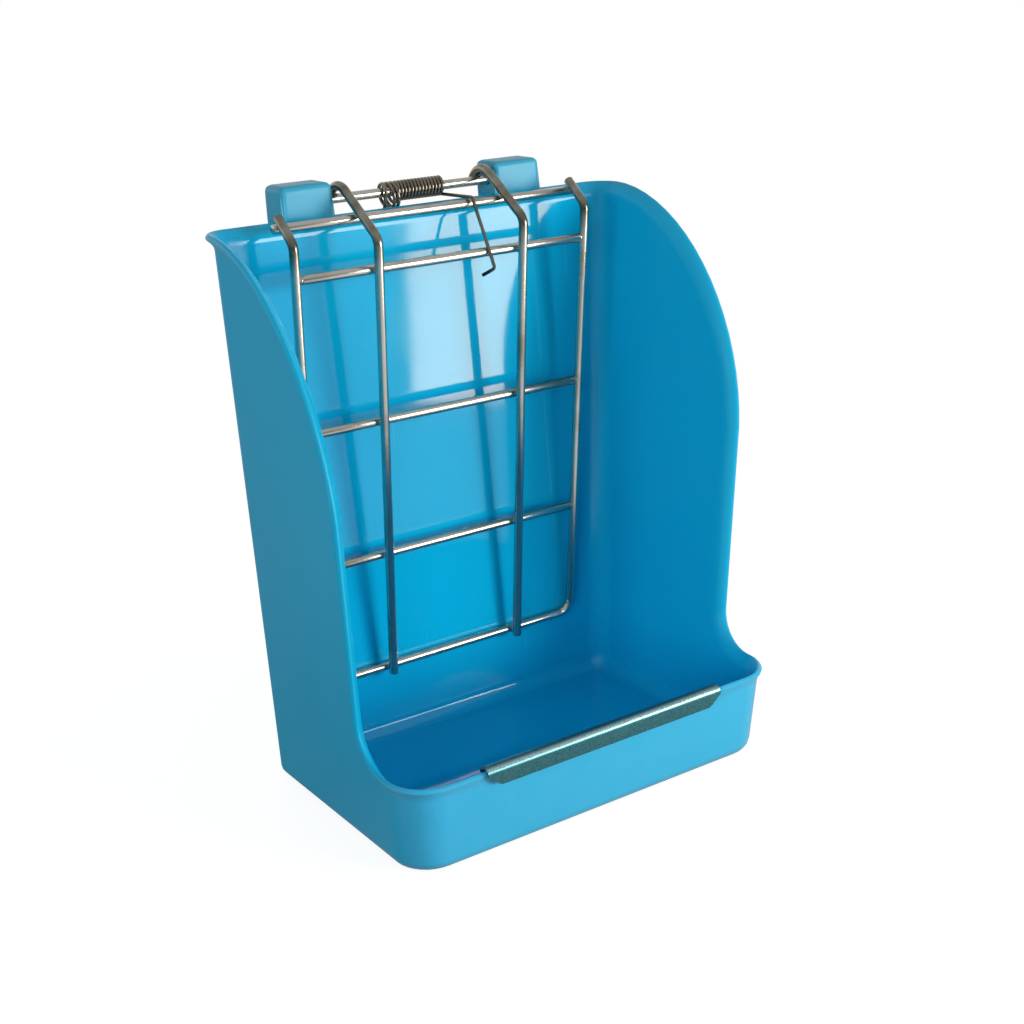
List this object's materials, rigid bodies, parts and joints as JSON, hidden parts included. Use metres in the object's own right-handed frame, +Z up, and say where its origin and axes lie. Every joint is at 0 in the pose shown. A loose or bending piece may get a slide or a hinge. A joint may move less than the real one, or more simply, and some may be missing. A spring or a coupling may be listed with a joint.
{
  "type": "hay feeder",
  "caption": "Hanging hay feeder: a moulded tub with a low front trough, a sprung wire grille hinged at the top to hold hay, rear hooks and a metal chew guard.",
  "frame": {"origin": "middle of the overall footprint, on the base's underside", "axes": "+X to the right as seen from the open front, +Y towards the back wall, +Z up"},
  "size_m": [0.1738, 0.1206, 0.2141],
  "materials": {
    "tub_plastic": "glossy moulded plastic",
    "guard_sheet": "satin sheet",
    "plated_wire": "bright plated wire",
    "spring_wire": "plain spring wire"
  },
  "bodies": {
    "feeder": {"tub": "tub_plastic", "chew_guard": "guard_sheet", "hinge_rod": "plated_wire", "torsion_spring": "spring_wire"},
    "grille": {"grille_top_rod": "plated_wire", "grille_frame_wire": "plated_wire", "grille_wire_left": "plated_wire", "grille_wire_right": "plated_wire", "grille_cross_upper": "plated_wire", "grille_cross_middle": "plated_wire", "grille_cross_lower": "plated_wire"}
  },
  "joints": [
    {"name": "grille_swing", "type": "hinge", "parent": "feeder", "child": "grille", "pos_m": [0, 0.0519, 0.2075], "axis": [-1, 0, 0], "range_deg": [0, 75], "stiffness_Nm_per_rad": 0.06, "springref_deg": -68.75, "deforming": ["torsion_spring"]}
  ]
}
